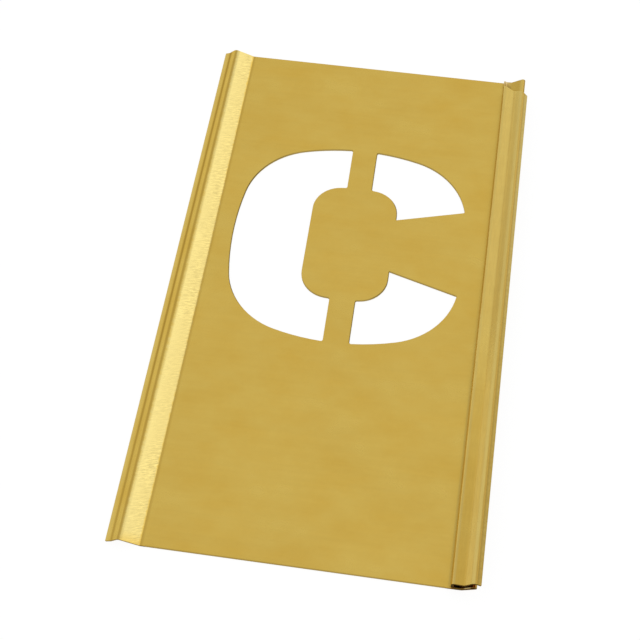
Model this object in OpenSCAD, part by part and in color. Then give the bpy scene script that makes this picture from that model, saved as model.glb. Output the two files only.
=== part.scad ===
// Lettering stencil: one plate of a set that slide together edge to edge, folded from one
// blank of thin sheet brass. It lies on its back with Z up. Y runs along the two lock edges,
// towards the top of the letter, and X runs from the tongue to the pocket.
// The origin is under the middle of the whole plate. Sizes are in millimetres.

/* [Plate] */
// Length of the plate, along its two lock edges
plate_len = 63.5; // [50:0.5:90]
// Width of the flat face, from the tongue's crease to the pocket's wall
face_w = 29.9; // [28:0.1:45]
// Thickness of the sheet
sheet_t = 0.2; // [0.15:0.01:0.25]
// Inside radius of the plain bends
bend_r = 0.15; // [0.08:0.01:0.25]

/* [Tongue] */
// Width of the tongue, from the face's crease to its free edge
tongue_w = 3.4; // [2.8:0.05:4.5]
// Width of the lip along the free edge
lip_w = 0.55; // [0.3:0.05:0.8]
// Slope of the lip, from its free edge up to the foot of the steep side, in degrees
lip_slope = 21; // [0:1:30]
// Run of the steep side, from the lip to the ridge
steep_run = 0.75; // [0.5:0.05:1]
// Height of the ridge over the plate's back, under the sheet
ridge_h = 0.86; // [0.5:0.02:1.1]
// Inside radius of the ridge
ridge_r = 0.3; // [0.1:0.05:0.5]

/* [Pocket] */
// Reach of the pocket's lid, from the wall's outer side to its free edge
lid_w = 2.8; // [2.6:0.05:3.6]
// Place of the nose's centre, from the wall's outer side
nose_x = 2.17; // [2.05:0.01:2.4]
// Height of the nose's centre over the plate's back
nose_z = 0.95; // [0.88:0.01:1.05]
// Inside radius of the nose, where the sheet turns back on itself
nose_r = 0.08; // [0.06:0.01:0.12]
// Place of the pocket floor's bend, from the wall's outer side
floor_bend_x = 0.95; // [0.85:0.05:1.1]
// Rise of the floor, from the wall to its bend
floor_rise = 0.02; // [0:0.01:0.1]
// Free space between the two layers of the floor
fold_gap = 0.06; // [0.04:0.01:0.12]
// Height of the pocket at its wall, from the floor to the lid
wall_h = 0.75; // [0.6:0.01:0.9]
// Place of the lid's valley, from the wall's outer side
valley_x = 1.27; // [1.15:0.01:1.4]
// Place of the lid's ridge, from the wall's outer side
lid_ridge_x = 2.12; // [2.05:0.01:2.25]
// Play over the next plate's lip, where the lid's valley holds it down
lip_play = 0.22; // [0.1:0.01:0.3]
// Play over the next plate's ridge, under the lid's ridge
ridge_play = 0.2; // [0.1:0.01:0.3]
// Fall of the lid's free edge, in degrees
lid_fall = 26; // [10:1:32]
// Distance of the lid's top end from the plate's top edge, at the wall
lead_in = 1.3; // [0.3:0.05:3]
// Angle of the cut across the lid's top end, in degrees
lead_angle = 32; // [0:1:45]

/* [Letter] */
// Height of the letter
letter_h = 25.8; // [22:0.1:30]
// Width of the letter, as wide as its outer outline would be without the mouth
letter_w = 25.5; // [22:0.1:27]
// Height of the letter's middle over the plate's bottom edge
letter_mid = 38.1; // [24:0.1:40]
// Turn of the letter as it was struck, in degrees
letter_turn = 0.6; // [-2:0.1:2]
// Radius of the outer outline's sides
side_r = 33.4; // [20:0.1:60]
// Radius of the outer outline's top and bottom
crown_r = 24.2; // [16:0.1:60]
// Radius of the outer outline's shoulders
shoulder_r = 8.1; // [5:0.1:10]
// Radius of the small corners of the openings
corner_r = 0.2; // [0.05:0.05:0.4]

/* [Island] */
// Width of the island inside the letter
island_w = 9.4; // [7:0.1:12]
// Height of the island
island_h = 14.9; // [12:0.1:17]
// Distance of the island's middle from the letter's middle, along X
island_shift = 0.15; // [-0.5:0.05:0.5]
// Radius of the island's top and bottom
island_crown_r = 20; // [15:0.5:40]
// Radius of the island's corners
island_corner_r = 3.1; // [1:0.1:3.2]
// Width of the two bridges that hold the island
bridge_w = 2.8; // [2:0.1:3]
// Distance of the bridges from the letter's middle, along X
bridge_shift = 0.3; // [0:0.05:0.5]

/* [Mouth] */
// Height of the upper jaw over the letter's middle, at the island's side
upper_jaw = 3.7; // [2:0.1:3.8]
// Slope of the upper jaw, in degrees
upper_jaw_angle = 15; // [0:0.5:20]
// Depth of the lower jaw under the letter's middle, at the island's side
lower_jaw = 3.2; // [2:0.1:3.8]
// Slope of the lower jaw, in degrees
lower_jaw_angle = 16.5; // [0:0.5:20]

/* [Hidden] */
brass = [0.79, 0.66, 0.31];
$fn = 96;
// Facets of the large arcs, when drawn as a mesh
large_fn = 240;
// How far a cutter runs past what it cuts
past = 1;
// How far a corner's cutter reaches past the corner, as a share of its own size
corner_past = 1.25;
// A straight run shorter than this is none, and the two bends at its ends are one
least_run = 0.001;
// Turn of each flat strip that a bend is drawn with, in degrees
bend_step = 8;

// Half the sheet: the folded outline follows the middle of the sheet
half_t = sheet_t / 2;
bend_mid = bend_r + half_t;
whole_w = tongue_w + face_w + lid_w;
crease_x = tongue_w - whole_w / 2;
wall_x = crease_x + face_w;
letter_x = crease_x + face_w / 2;
letter_y = letter_mid - plate_len / 2;

function unit(v) = v / norm(v);
function heading(v) = atan2(v.y, v.x);
function right_of(a) = [sin(a), -cos(a)];
function left_of(a) = [-sin(a), cos(a)];

// Where the tangents meet at two points of a circle that lie along n1 and n2 from its centre
function tangents_meet(c, r, n1, n2) = c + r * (n1 + n2) / (1 + n1 * n2);

// Folded section: corners of the sheet's middle, as [x, height, bend radius]. The lip's lower
// edge comes down to the plane of the plate's back.
lip_edge = [crease_x - tongue_w + half_t * sin(lip_slope), half_t * cos(lip_slope)];
lip_foot_x = crease_x - tongue_w + lip_w;
lip_foot_z = lip_edge.y + (lip_foot_x - lip_edge.x) * tan(lip_slope);
tongue_corners = [
    [lip_edge.x, lip_edge.y, 0],
    [lip_foot_x, lip_foot_z, bend_mid],
    [lip_foot_x + steep_run, ridge_h + half_t, ridge_r + half_t],
    [crease_x, half_t, bend_mid]
];

// The face runs on under the pocket, climbs to the nose, turns back over itself as the
// pocket's floor, stands up as the wall and covers the pocket as its lid
nose = [wall_x + nose_x, nose_z];
nose_mid = nose_r + half_t;
floor_low_z = half_t + sheet_t + fold_gap;
floor_bend = [wall_x + floor_bend_x, floor_low_z + floor_rise];
floor_angle = heading(floor_bend - [wall_x + half_t, floor_low_z]);
under_start = [wall_x + half_t + bend_mid, half_t];

// Headings of the two runs that touch the nose: the floor's ramp after its bend, and the
// climb under it, from a bend that keeps the layers apart by the same gap
ramp = heading(nose - floor_bend) + asin(nose_mid / norm(nose - floor_bend));
under_bend = tangents_meet(floor_bend, sheet_t + fold_gap, right_of(floor_angle), right_of(ramp));
climb = heading(nose - under_bend) - asin(nose_mid / norm(nose - under_bend));
nose_turn = (climb + ramp + 180) / 2;

// The next plate's lip lies on the ramp under the lid's valley, and its ridge stands above
// its lip: the lid clears both by the sheet and a play
lip_seat_z = floor_bend.y + (valley_x - floor_bend_x) * tan(ramp) + half_t / cos(ramp);
lid_valley = [wall_x + valley_x, lip_seat_z + sheet_t + lip_play + half_t];
lid_ridge = [wall_x + lid_ridge_x, lip_seat_z + ridge_h + sheet_t + ridge_play + half_t];
lid_wall_z = floor_low_z + wall_h + sheet_t;
lid_end_x = wall_x + lid_w - half_t * sin(lid_fall);
lid_end_z = lid_ridge.y - (lid_end_x - lid_ridge.x) * tan(lid_fall);

pocket_corners = [
    [under_start.x, under_start.y, bend_mid],
    [under_bend.x, under_bend.y, bend_mid],
    concat(tangents_meet(nose, nose_mid, right_of(climb), right_of(nose_turn)), nose_mid),
    concat(tangents_meet(nose, nose_mid, right_of(nose_turn), right_of(ramp + 180)), nose_mid),
    [floor_bend.x, floor_bend.y, bend_mid],
    [wall_x + half_t, floor_low_z, bend_mid],
    [wall_x + half_t, lid_wall_z, bend_mid],
    [lid_valley.x, lid_valley.y, bend_mid],
    [lid_ridge.x, lid_ridge.y, ridge_r + half_t],
    [lid_end_x, lid_end_z, 0]
];
fold_line = concat(tongue_corners, pocket_corners);

function spot(k) = [fold_line[k].x, fold_line[k].y];
function way(k) = unit(spot(k + 1) - spot(k));
function turn_of(k) = (heading(way(k)) - heading(way(k - 1)) + 540) % 360 - 180;
function is_bend(k) = k > 0 && k < len(fold_line) - 1;
// How much of each straight a bend takes
function taken(k) = is_bend(k) ? fold_line[k][2] * tan(abs(turn_of(k)) / 2) : 0;

function run_of(k) = norm(spot(k + 1) - spot(k)) - taken(k) - taken(k + 1);
// Centre of the arc that the middle of the sheet follows round a bend
function bend_centre(k) = spot(k) - taken(k) * way(k - 1)
    + fold_line[k][2] * sign(turn_of(k)) * left_of(heading(way(k - 1)));

// One side of the sheet at corner k, out by off to the left of the middle: points round the
// bend, less the first one where the bend before it ends in the same place
function side_points(k, off) =
    is_bend(k)
    ? let(
        s = sign(turn_of(k)),
        steps = max(1, ceil(abs(turn_of(k)) / bend_step)),
        first = run_of(k - 1) < least_run ? 1 : 0
    ) [
        for (i = [first : steps])
            bend_centre(k) - s * (fold_line[k][2] - s * off)
                * left_of(heading(way(k - 1)) + turn_of(k) * i / steps)
    ]
    : [spot(k) + off * left_of(heading(way(max(0, k - 1))))];

function side_line(off) = [
    for (k = [0 : len(fold_line) - 1]) for (p = side_points(k, off)) p
];
function backwards(v) = [for (i = [len(v) - 1 : -1 : 0]) v[i]];

module folded_section() {
    polygon(concat(side_line(half_t), backwards(side_line(-half_t))));
}

module along_plate(y0, y1) {
    translate([0, y1, 0]) rotate([90, 0, 0]) linear_extrude(y1 - y0) children();
}

// Space over the pocket's floor, where the lid's top end is cut away
module over_floor() {
    top = lid_ridge.y + past;
    bend_side = tangents_meet(floor_bend, sheet_t, left_of(floor_angle), left_of(ramp));
    nose_side = nose + (nose_mid + sheet_t) * left_of(ramp);
    polygon([
        [wall_x - past, floor_low_z + sheet_t],
        [wall_x + half_t, floor_low_z + sheet_t],
        bend_side,
        nose_side,
        [nose.x + past + lid_w, nose_side.y],
        [nose.x + past + lid_w, top],
        [wall_x - past, top]
    ]);
}

// Corner of the plate cut away across the lid, so that a tongue starts easily
module lead_in_cut() {
    x0 = wall_x - past;
    x1 = wall_x + lid_w + past;
    end = plate_len / 2;
    fall0 = lead_in - past * tan(lead_angle);
    fall1 = lead_in + (lid_w + past) * tan(lead_angle);
    intersection() {
        along_plate(end - fall1 - past, end + past) over_floor();
        linear_extrude(lid_ridge.y + 2 * past)
            polygon([[x0, end - fall0], [x1, end - fall1], [x1, end + past], [x0, end + past]]);
    }
}

// Trims the corners of a flat shape back to arcs. Each corner is given by its arc's centre
// and the directions from there to the two sides that the arc touches.
module eased(corners, r) {
    difference() {
        children();
        for (k = corners) difference() {
            tip = tangents_meet(k[0], r, k[1], k[2]);
            polygon([k[0], k[0] + r * k[1], k[0] + corner_past * (tip - k[0]), k[0] + r * k[2]]);
            translate(k[0]) circle(r);
        }
    }
}

// One corner copied into all four quarters of the letter
function four_ways(c, n1, n2) = [
    for (sx = [-1, 1]) for (sy = [-1, 1])
        let(m = [[sx, 0], [0, sy]]) [m * c, m * n1, m * n2]
];

// Outer outline: two side arcs, two crown arcs and four shoulders
side_c = [letter_w / 2 - side_r, 0];
crown_c = [0, letter_h / 2 - crown_r];
axis_way = unit(crown_c - side_c);
axis_len = norm(crown_c - side_c);
side_in = side_r - shoulder_r;
crown_in = crown_r - shoulder_r;
shoulder_along = (axis_len ^ 2 + side_in ^ 2 - crown_in ^ 2) / (2 * axis_len);
shoulder_c = side_c + shoulder_along * axis_way
    + sqrt(side_in ^ 2 - shoulder_along ^ 2) * [-axis_way.y, axis_way.x];

module outer_outline() {
    eased(four_ways(shoulder_c, unit(shoulder_c - side_c), unit(shoulder_c - crown_c)), shoulder_r)
        intersection() {
            translate(side_c) circle(side_r, $fn = large_fn);
            translate(-side_c) circle(side_r, $fn = large_fn);
            translate(crown_c) circle(crown_r, $fn = large_fn);
            translate(-crown_c) circle(crown_r, $fn = large_fn);
        }
}

// Island: straight sides, two crown arcs and four corners, about its own middle
island_crown_c = [0, island_h / 2 - island_crown_r];
island_corner_x = island_w / 2 - island_corner_r;
island_corner_c = [
    island_corner_x,
    island_crown_c.y + sqrt((island_crown_r - island_corner_r) ^ 2 - island_corner_x ^ 2)
];
island_side_x = island_shift + island_w / 2;

module island() {
    translate([island_shift, 0])
        eased(four_ways(island_corner_c, [1, 0], unit(island_corner_c - island_crown_c)),
            island_corner_r)
            intersection() {
                square([island_w, island_h], center = true);
                translate(island_crown_c) circle(island_crown_r, $fn = large_fn);
                translate(-island_crown_c) circle(island_crown_r, $fn = large_fn);
            }
}

// Corners where a bridge's side, at x, meets the outer outline and the island.
// side is 1 where the opening lies to the right of the bridge and -1 to the left.
function bridge_corners(x, side) =
    let(
        cx = x + side * corner_r,
        outer = [cx, crown_c.y + sqrt((crown_r - corner_r) ^ 2 - cx ^ 2)],
        hub = [island_shift, island_crown_c.y],
        inner = [cx, hub.y + sqrt((island_crown_r + corner_r) ^ 2 - (cx - hub.x) ^ 2)]
    )
    [[outer, [-side, 0], unit(outer - crown_c)], [inner, [-side, 0], unit(hub - inner)]];

// Centre of an arc that touches a jaw and lies inside a round side of the outer outline
function jaw_end(start, a, hub, r) =
    let(w = start - hub, along = [cos(a), sin(a)], b = w * along)
    start + (sqrt(b ^ 2 - w * w + (r - corner_r) ^ 2) - b) * along;

// Corners at the two ends of a jaw of height jaw and slope a
function jaw_corners(jaw, a) =
    let(
        start = [island_side_x, jaw + corner_r / cos(a)],
        inner = start + corner_r * [1, tan(a)],
        by_shoulder = jaw_end(start, a, shoulder_c, shoulder_r),
        on_shoulder = unit(by_shoulder - shoulder_c).y >= unit(shoulder_c - side_c).y,
        outer = on_shoulder ? by_shoulder : jaw_end(start, a, side_c, side_r),
        hub = on_shoulder ? shoulder_c : side_c
    )
    [[inner, [-1, 0], right_of(a)], [outer, right_of(a), unit(outer - hub)]];

bridge_left = bridge_shift - bridge_w / 2;
bridge_right = bridge_shift + bridge_w / 2;

// The letter's back: one opening, left of the bridges
module back_opening() {
    top = bridge_corners(bridge_left, -1);
    flip = [[1, 0], [0, -1]];
    bottom = [for (k = top) [flip * k[0], flip * k[1], flip * k[2]]];
    eased(concat(top, bottom), corner_r) difference() {
        outer_outline();
        translate([bridge_left, -letter_h]) square([letter_w, 2 * letter_h]);
        island();
    }
}

// One arm of the letter, right of the bridges and over a jaw
module arm_opening(jaw, a) {
    far = letter_w;
    jaw_at = [0, jaw - island_side_x * tan(a)];
    eased(concat(bridge_corners(bridge_right, 1), jaw_corners(jaw, a)), corner_r)
        difference() {
            intersection() {
                outer_outline();
                translate([bridge_right, 0]) square([far, far]);
            }
            polygon([jaw_at, jaw_at + far * [1, tan(a)], [far, -far], [0, -far]]);
            island();
        }
}

module letter() {
    back_opening();
    arm_opening(upper_jaw, upper_jaw_angle);
    mirror([0, 1]) arm_opening(lower_jaw, lower_jaw_angle);
}

// The whole plate, one folded sheet with the letter cut through its face
module stencil_plate() {
    color(brass) difference() {
        along_plate(-plate_len / 2, plate_len / 2) folded_section();
        translate([letter_x, letter_y, -past]) rotate(letter_turn)
            linear_extrude(sheet_t + 2 * past) letter();
        lead_in_cut();
    }
}

stencil_plate();
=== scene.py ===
import bpy
from mathutils import Matrix, Vector


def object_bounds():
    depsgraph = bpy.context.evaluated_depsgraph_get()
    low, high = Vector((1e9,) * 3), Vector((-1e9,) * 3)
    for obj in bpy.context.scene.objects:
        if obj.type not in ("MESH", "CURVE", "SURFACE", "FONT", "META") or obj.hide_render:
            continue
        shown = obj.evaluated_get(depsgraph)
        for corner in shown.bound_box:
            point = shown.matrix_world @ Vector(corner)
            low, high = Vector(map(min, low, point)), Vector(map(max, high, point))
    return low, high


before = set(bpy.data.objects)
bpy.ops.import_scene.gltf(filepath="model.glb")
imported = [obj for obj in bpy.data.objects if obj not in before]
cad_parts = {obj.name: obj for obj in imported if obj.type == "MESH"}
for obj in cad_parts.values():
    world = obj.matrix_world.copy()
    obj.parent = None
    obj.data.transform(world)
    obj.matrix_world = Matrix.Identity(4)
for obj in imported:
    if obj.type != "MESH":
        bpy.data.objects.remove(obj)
cad_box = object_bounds()
MM = 0.001

# Camera: where the photograph was taken from, in millimetres, and its axes in the part's frame.
# Its focal length is given in pixels of the photograph, beside the photograph's width.
CAMERA_AT = (11.274, -82.305, 125.935)
CAMERA_RIGHT = (0.98897, 0.14799, -0.00675)
CAMERA_UP = (-0.12161, 0.83700, 0.53352)
FOCAL_PIXELS = 1408.97
PICTURE_PIXELS = 640.0
SENSOR = 36.0
CLIP_START = 0.005
CLIP_END = 20.0

# White floor and room, in metres. Seen directly, both are brighter than the light they give.
# The gap keeps the floor just under the plate.
FLOOR_HALF = 1.5
FLOOR_GAP = 0.00002
FLOOR_PAINT = (0.86, 0.86, 0.86, 1.0)
FLOOR_GLOW = 1.05
FLOOR_GLOW_SHARE = 0.88
WHITE = (1.0, 1.0, 1.0, 1.0)
ROOM_LIGHT = 0.8

# The one lamp, in metres and watts: its direction from the plate, its distance, the direction of
# its long side, its length, width and power
LAMP_TOWARDS = (0.45, 0.53, 0.71)
LAMP_DISTANCE = 0.6
LAMP_LONG_WAY = (-0.115, 0.27, -0.174)
LAMP_LENGTH = 0.56
LAMP_WIDTH = 0.19
LAMP_POWER = 0.235

# Lines of the folded section, in millimetres along X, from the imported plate's own box and the
# widths of tongue and pocket: the face's crease at the tongue, the tongue's ridge, the crease of
# its lip, the pocket's wall, the lid's valley, and where the lid falls away
TONGUE_WIDTH = 3.4
POCKET_WIDTH = 2.8
CREASE_X = cad_box[0][0] / MM + TONGUE_WIDTH
RIDGE_X = CREASE_X - 2.06
LIP_X = CREASE_X - 2.76
WALL_X = cad_box[1][0] / MM - POCKET_WIDTH
VALLEY_X = WALL_X + 1.2
FALL_X = WALL_X + 2.34
HALF_LENGTH = cad_box[1][1] / MM
# Heights between which a point passes from the face to the pocket over it, and from the
# pocket's inside to its lid
RAISED_Z = (0.25, 0.35)
LID_Z = (1.2, 1.3)
# Where the cut across the lid's top end meets the wall, and how steeply it falls away
LEAD_IN_Y = HALF_LENGTH - 1.3
LEAD_IN_SLOPE = 0.625
# The pocket's floor climbs from its bend to the nose, from this X and this steeply
RAMP_X = WALL_X + 0.95
RAMP_SLOPE = 0.642

# Brass: plain, rubbed and lit pale, dull in stains, dark on the cuts; painted shade in creases, on
# the rim and inside the pocket, a ruddy painted reflection and a painted glint
WARM = (0.570, 0.378, 0.069, 1.0)
PALE = (0.592, 0.420, 0.093, 1.0)
RUBBED_AND_LIT = (0.62, 0.50, 0.183, 1.0)
DULL_AND_SHADE = (0.36, 0.22, 0.035, 1.0)
FOOT_SHADE_OLIVE = (0.30, 0.235, 0.075, 1.0)
CUT = (0.13, 0.065, 0.009, 1.0)
SHEARED = (0.42, 0.31, 0.10, 1.0)
RIM_SHADE = (0.10, 0.070, 0.022, 1.0)
INSIDE_SHADE = (0.10, 0.045, 0.008, 1.0)
RUDDY_REFLECTION = (0.42, 0.15, 0.04, 1.0)
NOSE_SHADE = (0.12, 0.0435, 0.0115, 1.0)
GLINT = (0.78, 0.60, 0.28, 1.0)
MOUTH_SHADOW = (0.02, 0.008, 0.002, 1.0)
SPECULAR_TINT = (0.92, 0.8, 0.55, 1.0)

# Tints, as a number for each of red, green and blue; the corner's and the tip's make a painted
# glint
FALL_TINT = (0.97, 1.03, 1.33)
CORNER_GLINT_TINT = (1.06, 1.12, 2.3)
TIP_GLINT_TINT = (1.25, 1.4, 1.9)

# Noises: how many marks to a millimetre along X, Y and Z, then detail and roughness
STREAKS = ((0.08, 2.8, 2.8), 4.0, 0.65)
GRAIN = ((3.0, 3.0, 3.0), 3.0, 0.6)
BLOTCHES = ((0.16, 0.24, 0.2), 3.0, 0.6)
STAINS = ((0.09, 0.11, 0.11), 2.0, 0.55)
RAGGED = ((0.5, 2.6, 0.5), 2.0, 0.6)
HATCH = ((1.6, 6.0, 1.0), 3.0, 0.7)
PATCHES = ((0.3, 0.28, 0.3), 2.0, 0.5)
DRAWN = ((5.0, 0.5, 0.5), 4.0, 0.7)
MOTTLE = ((3.0, 2.6, 3.0), 3.0, 0.65)

# How a wear, a painted light or a painted shade changes along the plate: from this Y, to this Y,
#  its strength at the first and at the second
BAND_RUB_AND_SHEEN_Y = (-HALF_LENGTH, 1.1 - HALF_LENGTH, 0.3, 1.0)
BAND_SHADE_Y = (0.0, 25.0, 1.0, 0.985)
RIDGE_SHADE_Y = (-26.0, -4.0, 0.16, 0.25)
LIP_CREASE_SHADE_Y = (-30.0, -8.0, 0.65, 1.0)
LID_LIGHT_Y = (-16.0, 4.0, 0.0, 0.31)
LID_DARKER_Y = (-24.0, -4.0, 0.38, 0.0)
SLOPE_LIGHT_Y = (-26.0, 6.0, 0.3, 0.2)
WALL_EDGE_LIGHT_Y = (-26.0, 2.0, 0.6, 0.1)
WALL_SHADE_Y = (-12.0, 4.0, 1.22, 1.02)
WALL_FOOT_Y = (-12.0, 4.0, 0.35, 0.08)
WALL_TOP_DARKER_Y = (30.6, 31.4, 0.0, 0.8)
FALL_LIGHT_Y = (-5.0, 5.0, 0.0, 0.3)
FALL_LINE_Y = (-26.0, 20.0, 1.0, 0.8)
FALL_EDGE_SHADE_Y = (-20.0, 10.0, 0.45, 0.15)
FALL_STAINS_Y = (-30.0, 15.0, 0.55, 0.2)
VALLEY_SHADE_Y = (-10.0, -4.0, 1.0, 0.0)
SLOPE_SHADE_Y = (-4.0, 4.0, 0.0, 1.0)
CORNER_Y = (30.4, 31.6, 0.0, 1.0)
TIP_Y = (31.3, 31.6, 0.0, 1.0)

# Shares of a second colour: how dull a stain is and how dark the painted shade in a crease and on
#  the ridge is, how much paler single places are, the lid's ridge and the wall's side by painted
#  light, how freshly the ends are cut, and how strong the painted shade and glint at the mouth are
STAINS_DULL = 0.1
CREASE_SHADE = 0.38
RIDGE_CREASE_SHADE = 0.65
LID_RIDGE_LIGHT = 0.2
WALL_SIDE_LIGHT = 0.9
LIP_EDGE_PALE = 0.3
FACE_END_FRESH = 0.3
TONGUE_END_FRESH = 0.75
NOSE_END_SHADE = 0.6
RIDGE_END_SHADE = 0.8
RAMP_END_GLINT = 0.8

# Shades: how much lighter and darker the marks are, and what the lip, the lid's valley and its
#  slope are multiplied by for painted light and shade
STREAKS_SHADE = 0.02
GRAIN_SHADE = 0.012
HATCH_SHADE = 0.17
DRAWN_SHADE = 0.06
LIP_SHADE = 1.07
VALLEY_SHADE = 1.14
SLOPE_SHADE = 0.93

# The band's edge at the face's crease, in millimetres: how far over the crease it lies in the
# middle, how far it bows back at which Y, and how ragged it is. Then the slant of its marks.
BAND_OVER = 0.06
BAND_BOW = 0.15
BAND_BOW_Y = 30.0
BAND_RAGGED = 0.07
HATCH_SLANT = 0.4

# The painted shade on the drawn-over rim round the letter's openings: its reach in millimetres,
#  its samples, how far it is turned from facing right, its strength where it faces down, and the
#  least tilt that is divided by
RIM_RADIUS = 0.2
RIM_SAMPLES = 8
RIM_TURN = -0.25
RIM_BELOW = 0.3
LEAST_TILT = 0.01

# Roughness where the brass is warm and where it is pale, and what a cut adds
ROUGHNESS = (0.24, 0.28)
CUT_ROUGHNESS = 0.2

# The low relief: its strength, its depth in metres, and the parts of the marks in it
RELIEF_STRENGTH = 0.15
RELIEF_DEPTH = 0.00002
STREAKS_RELIEF = 0.6
HATCH_RELIEF = 0.8
GRAIN_RELIEF = 0.3


def add(tree, kind, **settings):
    node = tree.nodes.new(kind)
    for name, setting in settings.items():
        setattr(node, name, setting)
    return node


def put(value, socket):
    """Links a Value to a node's input, or sets a plain number or colour there."""
    if isinstance(value, Value):
        value.tree.links.new(value.socket, socket)
    else:
        socket.default_value = value


def calculate(tree, operation, first, second=0.0):
    node = add(tree, "ShaderNodeMath", operation=operation)
    put(first, node.inputs[0])
    put(second, node.inputs[1])
    return Value(tree, node.outputs[0])


class Value:
    """A number, vector or colour that a node tree works out at each point. Arithmetic on a
    number adds a node to the tree."""

    def __init__(self, tree, socket):
        self.tree = tree
        self.socket = socket

    def __add__(self, other):
        return calculate(self.tree, "ADD", self, other)

    def __sub__(self, other):
        return calculate(self.tree, "SUBTRACT", self, other)

    def __rsub__(self, number):
        return calculate(self.tree, "SUBTRACT", number, self)

    def __mul__(self, other):
        return calculate(self.tree, "MULTIPLY", self, other)

    def __truediv__(self, other):
        return calculate(self.tree, "DIVIDE", self, other)

    def __abs__(self):
        return calculate(self.tree, "ABSOLUTE", self)


def larger(first, second):
    return calculate(first.tree, "MAXIMUM", first, second)


def ramp(value, low, high, to_low=0.0, to_high=1.0, smooth=False):
    """to_low up to low, to_high from high on, and a ramp between them."""
    node = add(value.tree, "ShaderNodeMapRange")
    node.interpolation_type = "SMOOTHSTEP" if smooth else "LINEAR"
    for number, socket in zip((value, low, high, to_low, to_high), node.inputs[0:5]):
        put(number, socket)
    return Value(value.tree, node.outputs[0])


def by_share(share, none, full):
    """The number none at a share of 0, full at a share of 1, and between them in step."""
    return ramp(share, 0.0, 1.0, none, full)


def line(value, middle, half_width):
    """1 on a line, falling smoothly to 0 at half_width to either side."""
    return ramp(abs(value - middle), 0.0, half_width, 1.0, 0.0, smooth=True)


def zone(value, low, high, soft):
    """1 between low and high, with edges that are soft wide."""
    rise = ramp(value, low - soft / 2, low + soft / 2, smooth=True)
    fall = ramp(value, high - soft / 2, high + soft / 2, 1.0, 0.0, smooth=True)
    return rise * fall


def mix(share, first, second):
    """The first colour, with a share of the second."""
    node = add(share.tree, "ShaderNodeMix", data_type="RGBA")
    put(share, node.inputs[0])
    put(first, node.inputs[6])
    put(second, node.inputs[7])
    return Value(share.tree, node.outputs[2])


def scaled(vector, factor):
    """A vector or colour times a number."""
    node = add(vector.tree, "ShaderNodeVectorMath", operation="SCALE")
    put(vector, node.inputs[0])
    put(factor, node.inputs["Scale"])
    return Value(vector.tree, node.outputs[0])


def tint(colour, factors, share):
    """A colour times one number for each of red, green and blue, by a share."""
    node = add(colour.tree, "ShaderNodeVectorMath", operation="MULTIPLY")
    put(colour, node.inputs[0])
    put(factors, node.inputs[1])
    return mix(share, colour, Value(colour.tree, node.outputs[0]))


def parts(vector):
    """A vector's X, Y and Z."""
    node = add(vector.tree, "ShaderNodeSeparateXYZ")
    put(vector, node.inputs[0])
    return [Value(vector.tree, socket) for socket in node.outputs]


def noise(vector, scale, detail, roughness):
    mapping = add(vector.tree, "ShaderNodeMapping")
    put(vector, mapping.inputs["Vector"])
    put(scale, mapping.inputs["Scale"])
    node = add(vector.tree, "ShaderNodeTexNoise")
    put(Value(vector.tree, mapping.outputs[0]), node.inputs["Vector"])
    put(1.0, node.inputs["Scale"])
    put(detail, node.inputs["Detail"])
    put(roughness, node.inputs["Roughness"])
    return Value(vector.tree, node.outputs["Fac"])


class Sheet:
    """Where a point of the plate is, in millimetres, which way it faces, and what follows from
    that for its wear and for its painted light and shade."""

    def __init__(self, tree):
        self.tree = tree
        coordinates = add(tree, "ShaderNodeTexCoord")
        self.place = scaled(Value(tree, coordinates.outputs["Object"]), 1.0 / MM)
        self.x, self.y, self.z = parts(self.place)
        normal = Value(tree, coordinates.outputs["Normal"])
        self.normal_x, self.normal_y, self.normal_z = parts(normal)
        self.streaks = noise(self.place, *STREAKS)
        self.grain = noise(self.place, *GRAIN)
        self.blotches = noise(self.place, *BLOTCHES)

        # Wear and painted light and shade show on the plate's upper side only, and the pocket's
        # only above the face
        self.upper = ramp(self.normal_z, -0.3, 0.1)
        self.raised = ramp(self.z, *RAISED_Z)

        # The pocket's lid up to its fall, the part of it before the valley, its falling edge,
        # and the outer side of its wall
        self.lid = zone(self.x, WALL_X + 0.15, WALL_X + 2.3, 0.2) * ramp(self.z, *LID_Z)
        self.before_valley = ramp(self.x, VALLEY_X, VALLEY_X + 0.2, 1.0, 0.0)
        self.falling = ramp(self.x, WALL_X + 2.2, WALL_X + 2.4)
        outer_side = ramp(self.normal_x, -0.8, -0.5, 1.0, 0.0)
        self.wall_side = outer_side * zone(self.x, WALL_X - 0.1, WALL_X + 0.4, 0.1)

        # Cut edges: both ends of the plate, and the letter's walls through the flat face
        near_end = ramp(abs(self.y), HALF_LENGTH - 3.0, HALF_LENGTH - 2.9)
        self.end = ramp(abs(self.normal_y), 0.8, 0.95) * near_end
        self.flat = zone(self.x, CREASE_X + 0.5, WALL_X - 0.5, 0.1)
        self.through = self.flat * ramp(abs(self.normal_z), 0.3, 0.5, 1.0, 0.0)
        self.cut = larger(self.end, self.through)

        # The tongue's band, with a ragged edge that bows along the face's crease
        ragged = ramp(noise(self.place, *RAGGED), 0.3, 0.7, -BAND_RAGGED, BAND_RAGGED)
        bow = self.y * self.y * (BAND_BOW / BAND_BOW_Y ** 2)
        band_x = self.x + ragged + bow - BAND_OVER
        left = ramp(band_x, RIDGE_X, CREASE_X - 1.6, smooth=True)
        right = ramp(band_x, CREASE_X - 0.12, CREASE_X + 0.08, 1.0, 0.0, smooth=True)
        self.band = self.upper * left * right

        # Short slanted marks across the band
        slanted = add(tree, "ShaderNodeCombineXYZ")
        put(self.x, slanted.inputs[0])
        put(self.y - self.x * HATCH_SLANT, slanted.inputs[1])
        self.hatch = noise(Value(tree, slanted.outputs[0]), *HATCH)


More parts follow.
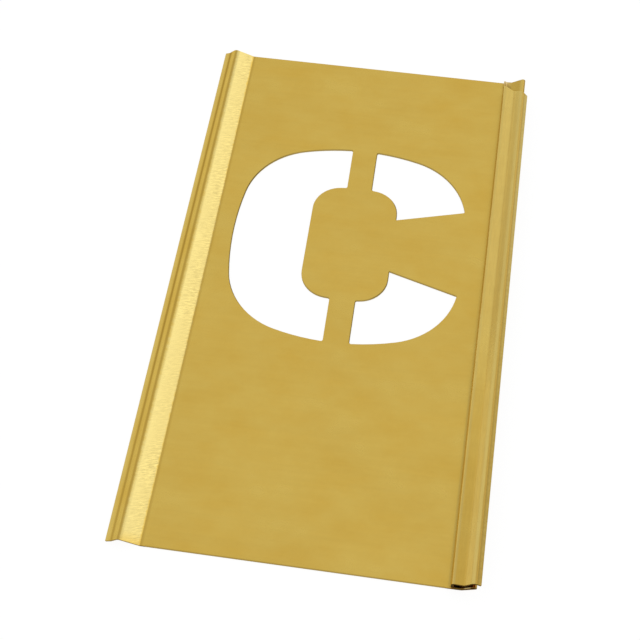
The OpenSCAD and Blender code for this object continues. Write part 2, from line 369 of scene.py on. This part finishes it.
def plain_sheet(sheet):
    """Blotches of warmer and paler brass, rolling streaks across, fine grain and faint stains."""
    colour = mix(ramp(sheet.blotches, 0.3, 0.7), WARM, PALE)
    streaks = ramp(sheet.streaks, 0.25, 0.75, 1.0 - STREAKS_SHADE, 1.0 + STREAKS_SHADE)
    grain = ramp(sheet.grain, 0.25, 0.75, -GRAIN_SHADE, GRAIN_SHADE)
    colour = scaled(colour, streaks + grain)
    stains = noise(sheet.place, *STAINS)
    return mix(ramp(stains, 0.4, 0.8, 0.0, STAINS_DULL), colour, DULL_AND_SHADE)


def rubbed_and_lit_places(sheet, colour):
    """Pale places: the tongue's band is rubbed and carries a painted highlight, the lip's edge is
    paler, and the lid and the wall's outer side get painted light.
    """
    # The band is thinner towards the face, and fades at the plate's bottom end
    thinner = ramp(sheet.x, CREASE_X - 1.4, CREASE_X - 0.5, 1.0, 0.92)
    # The band's paleness is partly rubbing and partly painted highlight
    band_rub_and_sheen = sheet.band * ramp(sheet.y, *BAND_RUB_AND_SHEEN_Y) * thinner
    lip_edge = ramp(sheet.x, CREASE_X - 3.3, CREASE_X - 2.95, LIP_EDGE_PALE, 0.0) * sheet.upper

    # Painted light on the lid: paler towards its top, on the edge of its wall, on its ridge and
    #     towards the bottom of the slope up to the ridge
    slope_light = (1.0 - sheet.before_valley) * ramp(sheet.y, *SLOPE_LIGHT_Y)
    top_light = sheet.lid * larger(ramp(sheet.y, *LID_LIGHT_Y), slope_light)
    wall_edge_light = line(sheet.x, WALL_X + 0.24, 0.2) * ramp(sheet.y, *WALL_EDGE_LIGHT_Y)
    ridge_light = line(sheet.x, WALL_X + 2.0, 0.3) * LID_RIDGE_LIGHT
    fall_light = ramp(sheet.x, WALL_X + 2.2, WALL_X + 2.5) * ramp(sheet.y, *FALL_LIGHT_Y)
    lid_light = (top_light + wall_edge_light + ridge_light + fall_light) * sheet.raised
    pocket_light = larger(lid_light, sheet.wall_side * WALL_SIDE_LIGHT)
    return mix(larger(larger(band_rub_and_sheen, lip_edge), pocket_light), colour, RUBBED_AND_LIT)


def hatched_band(sheet, colour):
    """Marks across the tongue's band, deeper towards the face and in patches, and painted shade
    that darkens the band towards the face and its top end and along its ridge.
    """
    shade = ramp(sheet.x, CREASE_X - 1.9, CREASE_X - 0.3, 1.02, 0.965)
    shade = shade * ramp(sheet.y, *BAND_SHADE_Y)
    deeper = ramp(sheet.x, CREASE_X - 1.5, CREASE_X - 0.6, 0.5, 1.0)
    deeper = deeper * ramp(noise(sheet.place, *PATCHES), 0.35, 0.65, 0.4, 1.7)
    marks = ramp(sheet.hatch, 0.3, 0.7, -HATCH_SHADE, HATCH_SHADE) * deeper
    colour = scaled(colour, by_share(sheet.band, 1.0, marks + shade))
    # Painted shade along the band's ridge
    ridge = sheet.upper * line(sheet.x, CREASE_X - 1.8, 0.26) * ramp(sheet.y, *RIDGE_SHADE_Y)
    return scaled(colour, 1.0 - ridge)


def folded_edges(sheet, colour):
    """Fine streaks drawn along both folded edges, painted light on their brighter sides and
    painted shade in their creases.
    """
    drawn = ramp(noise(sheet.place, *DRAWN), 0.25, 0.75, -DRAWN_SHADE, DRAWN_SHADE)
    folded = 1.0 - zone(sheet.x, CREASE_X - 1.7, WALL_X, 0.1)
    colour = scaled(colour, folded * drawn + 1.0)

    # Painted light: the lip, the steep side and the wall's outer side are a little brighter
    lip_shade = ramp(sheet.x, CREASE_X - 2.2, CREASE_X - 2.1, LIP_SHADE, 1.0)
    wall_shade = by_share(sheet.wall_side, 1.0, ramp(sheet.y, *WALL_SHADE_Y))
    colour = scaled(colour, larger(lip_shade, wall_shade))

    # Painted shade: dark lines in the creases and where the lid falls away. The falling edge is
    #     darkened by painted shade too, and the lid's lower half before the valley is darker.
    crease = line(sheet.x, CREASE_X + 0.1, 0.28) * sheet.upper * CREASE_SHADE
    lip = line(sheet.x, LIP_X, 0.26) * sheet.upper * ramp(sheet.y, *LIP_CREASE_SHADE_Y)
    ridge = line(sheet.x, RIDGE_X, 0.22) * sheet.upper * RIDGE_CREASE_SHADE
    fall = line(sheet.x, FALL_X, 0.24) * sheet.raised * ramp(sheet.y, *FALL_LINE_Y)
    falling_edge = ramp(sheet.x, WALL_X + 2.4, WALL_X + 2.5) * ramp(sheet.y, *FALL_EDGE_SHADE_Y)
    low_lid = sheet.lid * sheet.before_valley * ramp(sheet.y, *LID_DARKER_Y)
    colour = mix(crease + lip + ridge + fall + falling_edge + low_lid, colour, DULL_AND_SHADE)

    # Painted shade at the wall's foot, where the face meets the wall
    wall_foot = line(sheet.x, WALL_X - 0.08, 0.26) * sheet.upper * ramp(sheet.z, 0.7, 0.5)
    return mix(wall_foot * ramp(sheet.y, *WALL_FOOT_Y), colour, FOOT_SHADE_OLIVE)


def pocket_outside(sheet, colour):
    """A painted glint on the pocket's pale top corner, painted light and shade on the lid's valley
    and slope, and stains where it falls away.
    """
    # Painted glint: the corner is pale by the wall, and the wall's outer side is darker there
    by_wall = ramp(sheet.x, WALL_X + 0.2, WALL_X + 1.0, 1.0, 0.0)
    corner = by_wall * ramp(sheet.y, *CORNER_Y) * ramp(sheet.x, WALL_X - 0.1, WALL_X)
    corner = corner * sheet.raised
    colour = tint(colour, CORNER_GLINT_TINT, corner)
    colour = tint(colour, TIP_GLINT_TINT, corner * ramp(sheet.y, *TIP_Y))
    colour = mix(sheet.wall_side * ramp(sheet.y, *WALL_TOP_DARKER_Y), colour, DULL_AND_SHADE)

    # Painted light and shade: the valley is brighter in its lower half, and the slope after it
    # darker in its upper
    valley = zone(sheet.x, VALLEY_X, VALLEY_X + 0.6, 0.3) * sheet.raised
    valley = valley * ramp(sheet.y, *VALLEY_SHADE_Y)
    colour = scaled(colour, by_share(valley, 1.0, VALLEY_SHADE))
    slope = zone(sheet.x, VALLEY_X + 0.3, VALLEY_X + 0.9, 0.3) * sheet.raised
    slope = slope * ramp(sheet.y, *SLOPE_SHADE_Y)
    colour = scaled(colour, by_share(slope, 1.0, SLOPE_SHADE))

    # Mottled stains where the lid falls away, more towards its bottom
    mottle = ramp(noise(sheet.place, *MOTTLE), 0.4, 0.65)
    stained = sheet.falling * mottle * ramp(sheet.y, *FALL_STAINS_Y)
    colour = mix(stained, colour, DULL_AND_SHADE)
    return tint(colour, FALL_TINT, sheet.falling)


def cut_edges(sheet, colour):
    """The letter's walls are freshly cut, the face's and the tongue's ends partly so."""
    fresh = larger(sheet.through, sheet.flat * FACE_END_FRESH)
    tongue = ramp(sheet.x, CREASE_X - 0.1, CREASE_X + 0.1, TONGUE_END_FRESH, 0.0)
    fresh = larger(fresh, tongue)
    return mix(sheet.cut, colour, mix(fresh, CUT, SHEARED))


def letter_rim_shade(sheet, colour):
    """Painted shade: a dark line where the letter's rim is drawn over towards an opening that lies
    to the right of it, and a fainter and narrower one where the opening lies below."""
    bevel = add(sheet.tree, "ShaderNodeBevel", samples=RIM_SAMPLES)
    put(RIM_RADIUS * MM, bevel.inputs["Radius"])
    rolled_x, rolled_y = parts(Value(sheet.tree, bevel.outputs[0]))[0:2]
    tilt = calculate(sheet.tree, "SQRT", rolled_x * rolled_x + rolled_y * rolled_y)
    divisor = larger(tilt, LEAST_TILT)
    rightwards = ramp((rolled_x + rolled_y * RIM_TURN) / divisor, 0.5, 0.8)
    downwards = ramp(rolled_y / divisor, -0.3, -0.7)
    # The line goes some way down the letter's wall, less far where the rim faces down
    reach = ramp(sheet.z, by_share(downwards, 0.02, 0.12), by_share(downwards, 0.08, 0.18))
    strength = larger(rightwards * by_share(downwards, 0.9, 0.65), downwards * RIM_BELOW)
    return mix(sheet.flat * reach * ramp(tilt, 0.12, 0.3) * strength, colour, RIM_SHADE)


def pocket_mouth(sheet, colour):
    """The sheet's section at the bottom mouth: painted shade makes the ends of wall, nose and
    ridge dark, and a painted glint makes the end of the floor's slope bright."""
    mouth = sheet.end * ramp(sheet.y, -31.0, -30.0, 1.0, 0.0)
    wall_end = zone(sheet.x, WALL_X - 0.05, WALL_X + 0.3, 0.1) * ramp(sheet.z, 0.3, 0.4)
    colour = mix(mouth * wall_end, colour, MOUTH_SHADOW)
    nose_end = ramp(sheet.x, WALL_X + 1.8, WALL_X + 2.0) * ramp(sheet.z, 1.3, 1.2)
    colour = mix(mouth * nose_end * NOSE_END_SHADE, colour, NOSE_SHADE)
    ridge_end = zone(sheet.x, WALL_X + 1.7, WALL_X + 2.5, 0.2) * ramp(sheet.z, 1.25, 1.35)
    colour = mix(mouth * ridge_end * RIDGE_END_SHADE, colour, MOUTH_SHADOW)
    over_ramp = sheet.z - (sheet.x - RAMP_X) * RAMP_SLOPE
    ramp_end = zone(sheet.x, WALL_X + 1.3, WALL_X + 1.85, 0.2) * line(over_ramp, 0.38, 0.16)
    return mix(mouth * ramp_end * RAMP_END_GLINT, colour, GLINT)


def pocket_inside(sheet, colour):
    """Painted shade inside the pocket, near its ends: its floor, its wall and the lid's underside.
    """
    floor_side = ramp(sheet.z, 0.25, 0.3) * ramp(sheet.z, 1.25, 1.3, 1.0, 0.0)
    floor_side = floor_side * ramp(sheet.normal_z, -0.3, -0.2)
    floor_side = floor_side * ramp(sheet.normal_x, -0.8, -0.65)
    lid_side = ramp(sheet.z, 1.0, 1.05) * ramp(sheet.normal_z, -0.3, -0.2, 1.0, 0.0)
    pocket = zone(sheet.x, WALL_X - 0.1, WALL_X + 2.3, 0.1)
    inside = pocket * larger(floor_side, lid_side) * (1.0 - sheet.end)

    # Painted shade, deep behind the bottom mouth and ruddy with painted reflected light at it, and
    # light where the lid's top end is cut back
    over_cut = sheet.y + (sheet.x - WALL_X) * LEAD_IN_SLOPE
    covered = ramp(over_cut, LEAD_IN_Y - 1.0, LEAD_IN_Y - 0.1, 0.8, 0.35)
    under_lid = ramp(over_cut, LEAD_IN_Y, LEAD_IN_Y + 0.3, 1.0, 0.0)
    by_bottom = ramp(sheet.y, 3.0 - HALF_LENGTH, 7.0 - HALF_LENGTH, 1.0, 0.0)
    by_ends = larger(by_bottom, ramp(sheet.y, 26.0, 29.0))
    by_mouth = ramp(sheet.y, 0.3 - HALF_LENGTH, 2.5 - HALF_LENGTH, 1.0, 0.0)
    painted_inside_shade = mix(by_mouth, INSIDE_SHADE, RUDDY_REFLECTION)
    colour = mix(inside * covered * under_lid * by_ends, colour, painted_inside_shade)

    # Painted shadow: the open floor beyond the cut is darkened, with a dark spot along the cut
    shaded = ramp(over_cut, LEAD_IN_Y + 0.4, LEAD_IN_Y + 0.9, 0.8, 0.35)
    shaded = shaded * ramp(sheet.x, WALL_X + 1.8, WALL_X + 2.0, 1.0, 0.0)
    colour = mix(inside * (1.0 - under_lid) * shaded, colour, DULL_AND_SHADE)
    shadow_spot = ramp(over_cut, LEAD_IN_Y + 0.6, LEAD_IN_Y + 1.3, 0.7, 0.0)
    shadow_spot = shadow_spot * zone(sheet.x, WALL_X + 0.4, WALL_X + 0.9, 0.3)
    return mix(inside * shadow_spot, colour, INSIDE_SHADE)


def empty_tree(owner):
    """Gives a material or world a node tree with nothing in it."""
    owner.use_nodes = True
    owner.node_tree.nodes.clear()
    return owner.node_tree


def brass_material():
    material = bpy.data.materials.new("brass_sheet")
    tree = empty_tree(material)
    sheet = Sheet(tree)
    colour = plain_sheet(sheet)
    for wear in (rubbed_and_lit_places, hatched_band, folded_edges, pocket_outside, cut_edges,
                 letter_rim_shade, pocket_mouth, pocket_inside):
        colour = wear(sheet, colour)

    shader = add(tree, "ShaderNodeBsdfPrincipled")
    put(1.0, shader.inputs["Metallic"])
    put(colour, shader.inputs["Base Color"])
    put(SPECULAR_TINT, shader.inputs["Specular Tint"])
    roughness = ramp(sheet.blotches, 0.3, 0.7, *ROUGHNESS) + sheet.cut * CUT_ROUGHNESS
    put(roughness, shader.inputs["Roughness"])
    relief = add(tree, "ShaderNodeBump")
    put(RELIEF_STRENGTH, relief.inputs["Strength"])
    put(RELIEF_DEPTH, relief.inputs["Distance"])
    marks = sheet.streaks * STREAKS_RELIEF + sheet.hatch * sheet.band * HATCH_RELIEF
    put(marks + sheet.grain * GRAIN_RELIEF, relief.inputs["Height"])
    tree.links.new(relief.outputs[0], shader.inputs["Normal"])
    output = add(tree, "ShaderNodeOutputMaterial")
    tree.links.new(shader.outputs[0], output.inputs[0])
    return material


def seen_directly(tree):
    """1 for rays from the camera, from a mirror or through glass, 0 for those that light."""
    rays = add(tree, "ShaderNodeLightPath")
    names = ("Is Camera Ray", "Is Glossy Ray", "Is Transmission Ray")
    camera, glossy, transmission = [Value(tree, rays.outputs[name]) for name in names]
    return larger(larger(camera, glossy), transmission)


def floor_material():
    material = bpy.data.materials.new("floor_white")
    tree = empty_tree(material)
    paint = add(tree, "ShaderNodeBsdfDiffuse")
    put(FLOOR_PAINT, paint.inputs["Color"])
    glow = add(tree, "ShaderNodeEmission")
    put(WHITE, glow.inputs["Color"])
    put(FLOOR_GLOW, glow.inputs["Strength"])
    both = add(tree, "ShaderNodeMixShader")
    put(seen_directly(tree) * FLOOR_GLOW_SHARE, both.inputs[0])
    tree.links.new(paint.outputs[0], both.inputs[1])
    tree.links.new(glow.outputs[0], both.inputs[2])
    output = add(tree, "ShaderNodeOutputMaterial")
    tree.links.new(both.outputs[0], output.inputs[0])
    return material


def make_camera():
    data = bpy.data.cameras.new("camera")
    data.sensor_fit = "HORIZONTAL"
    data.sensor_width = SENSOR
    data.lens = SENSOR * FOCAL_PIXELS / PICTURE_PIXELS
    data.clip_start = CLIP_START
    data.clip_end = CLIP_END
    data.dof.use_dof = False
    right = Vector(CAMERA_RIGHT).normalized()
    up = Vector(CAMERA_UP)
    up = (up - up.dot(right) * right).normalized()
    back = right.cross(up)
    place = Matrix((right, up, back)).transposed().to_4x4()
    place.translation = Vector(CAMERA_AT) * MM
    camera = bpy.data.objects.new("camera", data)
    bpy.context.scene.collection.objects.link(camera)
    camera.matrix_world = place
    bpy.context.scene.camera = camera


def make_floor():
    mesh = bpy.data.meshes.new("floor")
    half = FLOOR_HALF
    corners = [(-half, -half, 0.0), (half, -half, 0.0), (half, half, 0.0), (-half, half, 0.0)]
    mesh.from_pydata(corners, [], [(0, 1, 2, 3)])
    floor = bpy.data.objects.new("floor", mesh)
    floor.location.z = -FLOOR_GAP
    mesh.materials.append(floor_material())
    bpy.context.scene.collection.objects.link(floor)


def make_world():
    world = bpy.data.worlds.new("studio")
    bpy.context.scene.world = world
    tree = empty_tree(world)
    background = add(tree, "ShaderNodeBackground")
    put(WHITE, background.inputs["Color"])
    put(by_share(seen_directly(tree), ROOM_LIGHT, 1.0), background.inputs["Strength"])
    output = add(tree, "ShaderNodeOutputWorld")
    tree.links.new(background.outputs[0], output.inputs[0])


def make_lamp():
    """A strip lamp that looks back at the plate."""
    data = bpy.data.lights.new("softbox_right", "AREA")
    data.shape = "RECTANGLE"
    data.size = LAMP_LENGTH
    data.size_y = LAMP_WIDTH
    data.energy = LAMP_POWER
    lamp = bpy.data.objects.new("softbox_right", data)
    back = Vector(LAMP_TOWARDS).normalized()
    along = Vector(LAMP_LONG_WAY)
    along = (along - along.dot(back) * back).normalized()
    across = back.cross(along)
    place = Matrix((along, across, back)).transposed().to_4x4()
    place.translation = back * LAMP_DISTANCE
    bpy.context.scene.collection.objects.link(lamp)
    lamp.matrix_world = place


make_camera()
make_floor()
make_world()
make_lamp()

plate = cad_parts["stencil_plate"]
brass = brass_material()
for slot in plate.material_slots:
    slot.material = brass

bpy.context.scene.view_settings.view_transform = "Standard"
